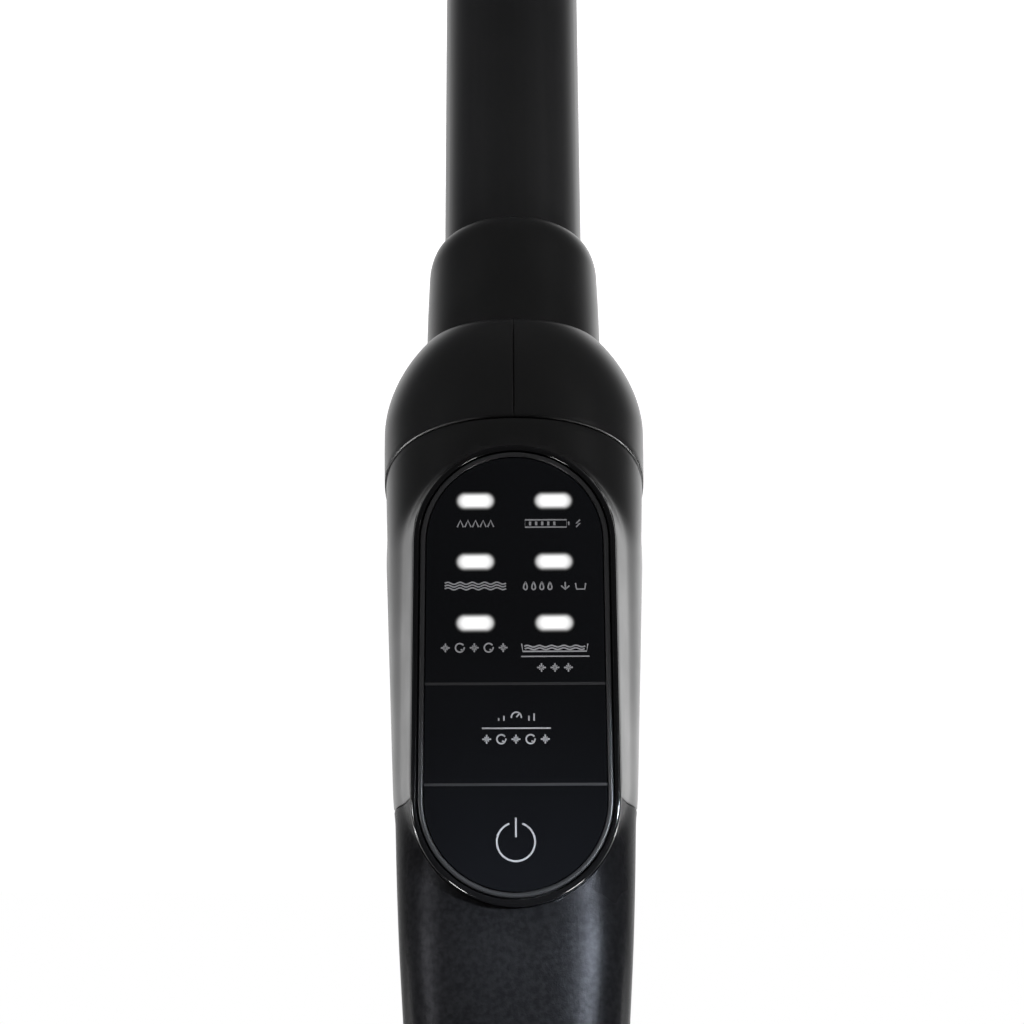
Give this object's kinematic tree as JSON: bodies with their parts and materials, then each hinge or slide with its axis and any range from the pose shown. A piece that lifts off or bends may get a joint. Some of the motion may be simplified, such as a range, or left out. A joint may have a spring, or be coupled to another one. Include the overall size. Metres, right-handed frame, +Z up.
{
  "type": "wet dry floor scrubber",
  "caption": "Upright cordless wet and dry floor scrubber: roller head on wheels, reclining swivel neck, clean and dirty water tanks, black pole and handle with lit control panel.",
  "frame": {"origin": "middle of the machine's footprint on the floor", "axes": "+Z up along the pole, -Y to the roller, +Y to the user"},
  "size_m": [0.27, 0.256, 1.1279],
  "materials": {
    "tube_black": "satin black anodised tube",
    "shell_black": "satin black",
    "grip_black": "fine textured black",
    "bezel_black": "gloss black",
    "panel_glass": "gloss black, clear over printed symbols",
    "light_guide": "clear, lit white",
    "circuit_green": "green solder mask",
    "screw_steel": "bright",
    "clear_smoke": "smoke clear",
    "inner_grey": "dark grey moulded",
    "motor_metal": "satin",
    "battery_wrap": "satin wrap",
    "filter_white": "pleated filter, foamed float",
    "seal_rubber": "matte",
    "roller_fabric": "short pile",
    "hose_grey": "satin ribbed"
  },
  "bodies": {
    "head": {"head_chassis": "inner_grey", "head_top_cover": "shell_black", "roller_end_cap": "shell_black", "brush_motor": "motor_metal", "drive_belt": "seal_rubber", "belt_cover": "shell_black", "squeegee_strip": "seal_rubber", "spray_bar": "inner_grey", "head_duct": "inner_grey", "charging_contact_block": "inner_grey", "wheel_axle": "screw_steel", "pivot_pin_left": "screw_steel", "pivot_pin_right": "screw_steel"},
    "roller": {"brush_roller_core": "inner_grey", "brush_roller_sleeve": "roller_fabric", "roller_pulley": "inner_grey"},
    "motor_shaft": {"motor_pulley": "inner_grey"},
    "roller_window": {"roller_cover": "clear_smoke", "front_bumper": "seal_rubber"},
    "wheel_left": {"rear_wheel_left": "seal_rubber"},
    "wheel_right": {"rear_wheel_right": "seal_rubber"},
    "neck": {"neck_yoke": "shell_black", "neck_hose": "hose_grey"},
    "upper_body": {"pole_tube": "tube_black", "pole_collar": "shell_black", "nose_left_shell": "shell_black", "nose_right_shell": "shell_black", "panel_cover": "shell_black", "panel_under_shell": "shell_black", "grip_upper_shell": "grip_black", "grip_lower_shell": "grip_black", "grip_end_cap": "shell_black", "panel_bezel": "bezel_black", "display_window": "panel_glass", "indicator_light_guide": "light_guide", "panel_circuit_board": "circuit_green", "handle_screw": "screw_steel", "pole_socket": "shell_black", "body_spine": "shell_black", "motor_housing": "shell_black", "body_top_cover": "shell_black", "tank_cradle": "shell_black", "suction_motor": "motor_metal", "battery_pack": "battery_wrap", "main_circuit_board": "circuit_green", "water_pump": "inner_grey", "swivel_ring": "motor_metal"},
    "speed_button": {"speed_key": "panel_glass"},
    "power_button": {"power_key": "panel_glass"},
    "pole_release": {"pole_release_button": "inner_grey"},
    "impeller": {"suction_impeller": "inner_grey"},
    "dirty_water_tank": {"dirty_tank": "clear_smoke", "dirty_tank_lid": "inner_grey", "dirty_filter": "filter_white"},
    "float": {"dirty_float": "filter_white"},
    "dirty_latch": {"dirty_tank_latch": "inner_grey"},
    "clean_water_tank": {"clean_tank": "clear_smoke", "clean_tank_valve": "inner_grey"},
    "clean_cap": {"clean_tank_cap": "inner_grey"},
    "clean_latch": {"clean_tank_latch": "inner_grey"}
  },
  "joints": [
    {"name": "recline", "type": "hinge", "parent": "head", "child": "neck", "pos_m": [0, 0.03, 0.078], "axis": [-1, 0, 0], "range_deg": [0, 62]},
    {"name": "swivel", "type": "hinge", "parent": "neck", "child": "upper_body", "pos_m": [0, 0.03, 0.136], "axis": [0, 0, 1], "range_deg": [-40, 40]},
    {"name": "roller_spin", "type": "hinge", "parent": "head", "child": "roller", "pos_m": [0, -0.088, 0.028], "axis": [1, 0, 0], "continuous": true},
    {"name": "motor_spin", "type": "hinge", "parent": "head", "child": "motor_shaft", "pos_m": [0, -0.03, 0.032], "axis": [1, 0, 0], "continuous": true},
    {"name": "roller_window_lift", "type": "slide", "parent": "head", "child": "roller_window", "axis": [0, 0, 1], "range_m": [0, 0.035]},
    {"name": "left_wheel_spin", "type": "hinge", "parent": "head", "child": "wheel_left", "pos_m": [-0.104, 0.062, 0.024], "axis": [1, 0, 0], "continuous": true},
    {"name": "right_wheel_spin", "type": "hinge", "parent": "head", "child": "wheel_right", "pos_m": [0.104, 0.062, 0.024], "axis": [1, 0, 0], "continuous": true},
    {"name": "speed_key_press", "type": "slide", "parent": "upper_body", "child": "speed_button", "axis": [0, -1, 0], "range_m": [0, 0.0006], "stiffness_N_per_m": 600},
    {"name": "power_key_press", "type": "slide", "parent": "upper_body", "child": "power_button", "axis": [0, -1, 0], "range_m": [0, 0.0006], "stiffness_N_per_m": 600},
    {"name": "pole_release_press", "type": "slide", "parent": "upper_body", "child": "pole_release", "axis": [0, 1, 0], "range_m": [0, 0.0025], "stiffness_N_per_m": 400},
    {"name": "impeller_spin", "type": "hinge", "parent": "upper_body", "child": "impeller", "pos_m": [0, -0.052, 0.48], "axis": [0, 0, 1], "continuous": true},
    {"name": "dirty_tank_pull", "type": "slide", "parent": "upper_body", "child": "dirty_water_tank", "axis": [0, -1, 0], "range_m": [0, 0.11]},
    {"name": "float_rise", "type": "slide", "parent": "dirty_water_tank", "child": "float", "axis": [0, 0, 1], "range_m": [0, 0.03]},
    {"name": "dirty_latch_press", "type": "slide", "parent": "dirty_water_tank", "child": "dirty_latch", "axis": [0, 0, -1], "range_m": [0, 0.003], "stiffness_N_per_m": 400},
    {"name": "clean_tank_pull", "type": "slide", "parent": "upper_body", "child": "clean_water_tank", "axis": [0, 1, 0], "range_m": [0, 0.08]},
    {"name": "clean_cap_twist", "type": "hinge", "parent": "clean_water_tank", "child": "clean_cap", "pos_m": [0, 0.092, 0.424], "axis": [0, 0, 1], "range_deg": [0, 90]},
    {"name": "clean_latch_swing", "type": "hinge", "parent": "upper_body", "child": "clean_latch", "pos_m": [0, 0.058, 0.448], "axis": [1, 0, 0], "range_deg": [0, 18], "stiffness_Nm_per_rad": 0.5}
  ],
  "couplings": [
    {"joint": "motor_spin", "follows": "roller_spin", "ratio": 2}
  ]
}
